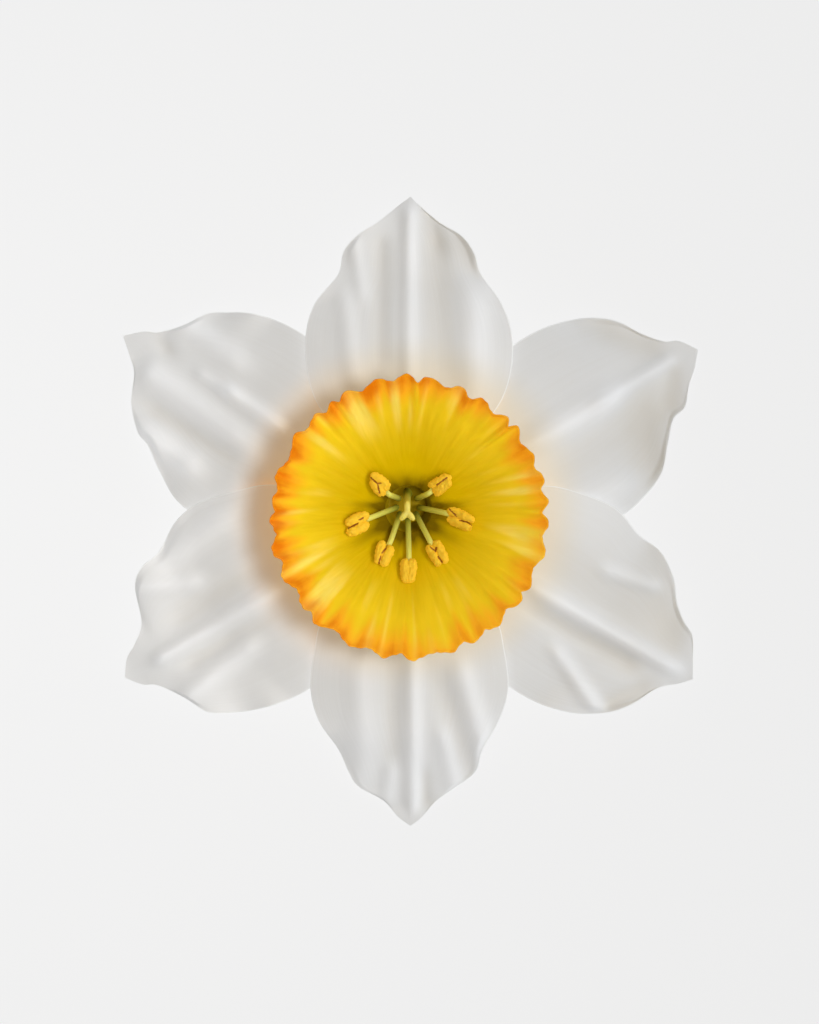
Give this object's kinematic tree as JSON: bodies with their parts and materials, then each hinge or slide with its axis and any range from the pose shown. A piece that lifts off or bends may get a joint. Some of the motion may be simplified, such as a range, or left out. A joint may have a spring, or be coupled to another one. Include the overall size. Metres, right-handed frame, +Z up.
{
  "type": "narcissus flower",
  "caption": "Single narcissus flower lying face up: pale spreading tepals around a wide yellow cup with a frilled orange rim, stamens and pistil inside.",
  "frame": {"origin": "on the surface that the flower lies on, under the middle of its spread", "axes": "+Z up, out of the cup's mouth; +Y along the top and bottom tepals, towards the top one; +X to the right seen from above"},
  "size_m": [0.0886, 0.0969, 0.0385],
  "materials": {
    "stalk": "satin",
    "ovary": "satin",
    "tube": "satin",
    "tepal": "satin",
    "corona": "satin",
    "filament": "satin",
    "anther": "matte",
    "pistil": "satin"
  },
  "bodies": {
    "root": {"pedicel": "stalk", "ovary": "ovary", "perianth_tube": "tube", "tepal_top": "tepal", "tepal_upper_right": "tepal", "tepal_lower_right": "tepal", "tepal_bottom": "tepal", "tepal_lower_left": "tepal", "tepal_upper_left": "tepal", "corona": "corona", "filament_1": "filament", "anther_1": "anther", "filament_2": "filament", "anther_2": "anther", "filament_3": "filament", "anther_3": "anther", "filament_4": "filament", "anther_4": "anther", "filament_5": "filament", "anther_5": "anther", "filament_6": "filament", "anther_6": "anther", "filament_7": "filament", "anther_7": "anther", "pistil": "pistil"}
  },
  "joints": []
}
